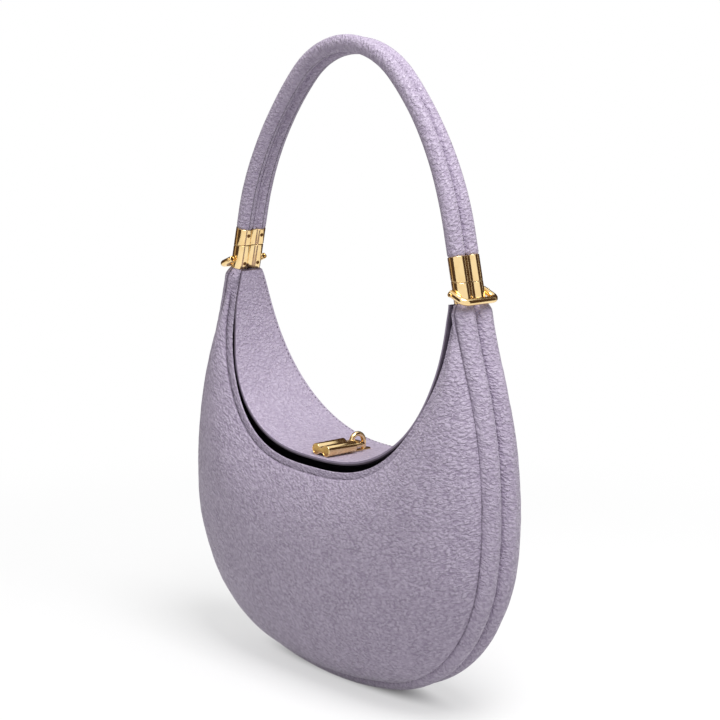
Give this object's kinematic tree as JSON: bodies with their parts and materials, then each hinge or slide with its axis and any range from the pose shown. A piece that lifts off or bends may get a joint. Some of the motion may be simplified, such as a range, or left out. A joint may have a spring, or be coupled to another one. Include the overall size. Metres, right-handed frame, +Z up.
{
  "type": "half moon shoulder bag",
  "caption": "Crescent leather shoulder bag with padded side rolls, twin-tube strap in clamp ferrules, swinging side rings, and a lifting top flap with a padlock-style pull.",
  "frame": {"origin": "on the surface that the bag stands on, under the middle of the base", "axes": "+X to the right seen from the front, +Y to the back, +Z up; the front panel faces -Y"},
  "size_m": [0.3138, 0.0972, 0.4661],
  "materials": {
    "shell_leather": "pebbled lilac leather, soft satin",
    "strap_leather": "pebbled lilac leather drawn over a padded tube",
    "padding": "soft cord padding",
    "lining_cloth": "fine woven lining",
    "gold_metal": "polished gold plated",
    "steel_fitting": "plain hidden fitting"
  },
  "bodies": {
    "bag": {"front_panel": "shell_leather", "back_panel": "shell_leather", "gusset_roll_front": "shell_leather", "gusset_roll_back": "shell_leather", "roll_core_front": "padding", "roll_core_back": "padding", "lining_front": "lining_cloth", "lining_back": "lining_cloth", "lining_gusset": "lining_cloth", "front_facing": "shell_leather", "flap_surround": "shell_leather", "strap_tube_front": "strap_leather", "strap_tube_back": "strap_leather", "strap_core_front": "padding", "strap_core_back": "padding", "strap_seam_tape": "strap_leather", "ferrule_upper_left": "gold_metal", "ferrule_lower_left": "gold_metal", "ferrule_upper_right": "gold_metal", "ferrule_lower_right": "gold_metal", "ferrule_dowels_left": "steel_fitting", "ferrule_dowels_right": "steel_fitting", "strap_screws_left": "gold_metal", "strap_screws_right": "gold_metal", "roll_screws_left": "gold_metal", "roll_screws_right": "gold_metal", "ring_pins_left": "gold_metal", "ring_pins_right": "gold_metal"},
    "flap": {"flap_tongue": "shell_leather", "pull_plate": "gold_metal", "pull_back_plate": "steel_fitting", "pull_staple": "gold_metal"},
    "lock": {"lock_body": "gold_metal", "lock_shackle": "gold_metal"},
    "left_ring": {"ring_left": "gold_metal"},
    "right_ring": {"ring_right": "gold_metal"}
  },
  "joints": [
    {"name": "flap_lift", "type": "hinge", "parent": "bag", "child": "flap", "pos_m": [0, 0.028, 0.1734], "axis": [-1, 0, 0], "range_deg": [0, 60]},
    {"name": "lock_swing", "type": "hinge", "parent": "flap", "child": "lock", "pos_m": [0, 0.0091, 0.173], "axis": [-1, 0, 0], "range_deg": [0, 150]},
    {"name": "ring_left_swing", "type": "hinge", "parent": "bag", "child": "left_ring", "pos_m": [-0.11841, 0, 0.29741], "axis": [0, 1, 0], "range_deg": [0, 50]},
    {"name": "ring_right_swing", "type": "hinge", "parent": "bag", "child": "right_ring", "pos_m": [0.11841, 0, 0.29741], "axis": [0, -1, 0], "range_deg": [0, 50]}
  ]
}
